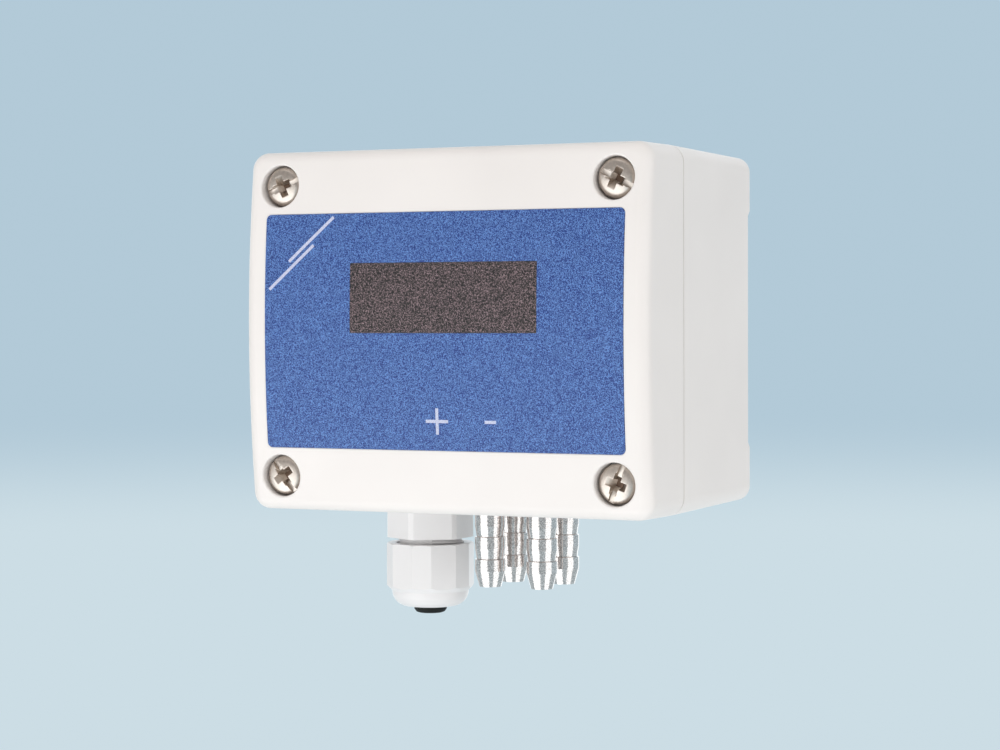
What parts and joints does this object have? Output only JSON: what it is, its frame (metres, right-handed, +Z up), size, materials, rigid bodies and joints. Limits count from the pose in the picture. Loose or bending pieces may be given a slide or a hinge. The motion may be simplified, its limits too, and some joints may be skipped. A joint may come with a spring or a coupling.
{
  "type": "differential pressure transmitter",
  "caption": "Wall-mounted differential pressure transmitter: plastic case with an arched screwed cover, tinted display window, barbed hose nozzles and a cable gland.",
  "frame": {"origin": "centre of the four wall holes, on the plane of the feet", "axes": "+Y into the wall, front faces -Y, +X right as seen from the front, +Z up"},
  "size_m": [0.085, 0.0568, 0.0929],
  "materials": {
    "case_plastic": "fine moulded satin",
    "gasket_foam": "foamed elastomer",
    "overlay_film": "fine-grained blue film",
    "tinted_lens": "dark tinted, fine-grained",
    "gland_nylon": "smooth moulded nylon",
    "gland_rubber": "black rubber",
    "screw_steel": "nickel-plated steel",
    "plated_steel": "zinc-plated steel",
    "insert_brass": "brass",
    "nozzle_aluminium": "bright turned",
    "board_laminate": "green solder mask",
    "display_plastic": "black display module",
    "terminal_plastic": "green terminal plastic",
    "chip_plastic": "black moulded",
    "can_aluminium": "drawn can",
    "button_plastic": "red moulded",
    "sensor_plastic": "moulded white",
    "silicone": "translucent silicone"
  },
  "bodies": {
    "housing": {"board_spacer_bottom_left": "insert_brass", "board_spacer_bottom_right": "insert_brass", "board_spacer_top_left": "insert_brass", "board_spacer_top_right": "insert_brass", "column_insert_bottom_left": "insert_brass", "column_insert_bottom_right": "insert_brass", "column_insert_top_left": "insert_brass", "column_insert_top_right": "insert_brass", "digit_display": "display_plastic", "display_board": "board_laminate", "display_board_screws": "plated_steel", "gland_body": "gland_nylon", "gland_flat_seal": "gland_rubber", "gland_locknut": "gland_nylon", "gland_seal": "gland_rubber", "link_pins": "chip_plastic", "link_socket": "chip_plastic", "main_board": "board_laminate", "microcontroller": "chip_plastic", "nozzle_minus_front": "nozzle_aluminium", "nozzle_minus_rear": "nozzle_aluminium", "nozzle_nut_minus_front": "plated_steel", "nozzle_nut_minus_rear": "plated_steel", "nozzle_nut_plus_front": "plated_steel", "nozzle_nut_plus_rear": "plated_steel", "nozzle_plus_front": "nozzle_aluminium", "nozzle_plus_rear": "nozzle_aluminium", "pressure_sensor_front": "sensor_plastic", "pressure_sensor_rear": "sensor_plastic", "rear_housing": "case_plastic", "sensor_tube_minus_front": "silicone", "sensor_tube_minus_rear": "silicone", "sensor_tube_plus_front": "silicone", "sensor_tube_plus_rear": "silicone", "smoothing_capacitors": "can_aluminium", "terminal_block": "terminal_plastic", "zero_button_base": "chip_plastic"},
    "cover": {"front_cover": "case_plastic", "cover_gasket": "gasket_foam", "front_label": "overlay_film", "display_window": "tinted_lens"},
    "gland_nut": {"gland_cap_nut": "gland_nylon"},
    "zero_button": {"zero_button_cap": "button_plastic"},
    "screw_top_left": {"cover_screw_top_left": "screw_steel"},
    "screw_top_right": {"cover_screw_top_right": "screw_steel"},
    "screw_bottom_left": {"cover_screw_bottom_left": "screw_steel"},
    "screw_bottom_right": {"cover_screw_bottom_right": "screw_steel"}
  },
  "joints": [
    {"name": "cover_lift", "type": "slide", "parent": "housing", "child": "cover", "axis": [0, -1, 0], "range_m": [0, 0.06]},
    {"name": "screw_top_left_turn", "type": "hinge", "parent": "cover", "child": "screw_top_left", "pos_m": [-0.03515, -0.0514, 0.02815], "axis": [0, -1, 0], "range_deg": [0, 3600]},
    {"name": "screw_top_right_turn", "type": "hinge", "parent": "cover", "child": "screw_top_right", "pos_m": [0.03515, -0.0514, 0.02815], "axis": [0, -1, 0], "range_deg": [0, 3600]},
    {"name": "screw_bottom_left_turn", "type": "hinge", "parent": "cover", "child": "screw_bottom_left", "pos_m": [-0.03515, -0.0514, -0.02815], "axis": [0, -1, 0], "range_deg": [0, 3600]},
    {"name": "screw_bottom_right_turn", "type": "hinge", "parent": "cover", "child": "screw_bottom_right", "pos_m": [0.03515, -0.0514, -0.02815], "axis": [0, -1, 0], "range_deg": [0, 3600]},
    {"name": "gland_nut_turn", "type": "hinge", "parent": "housing", "child": "gland_nut", "pos_m": [-0.0203, -0.02, -0.05], "axis": [0, 0, -1], "range_deg": [0, 1440]},
    {"name": "zero_button_press", "type": "slide", "parent": "housing", "child": "zero_button", "axis": [0, 1, 0], "range_m": [0, 0.00025], "stiffness_N_per_m": 6400}
  ]
}
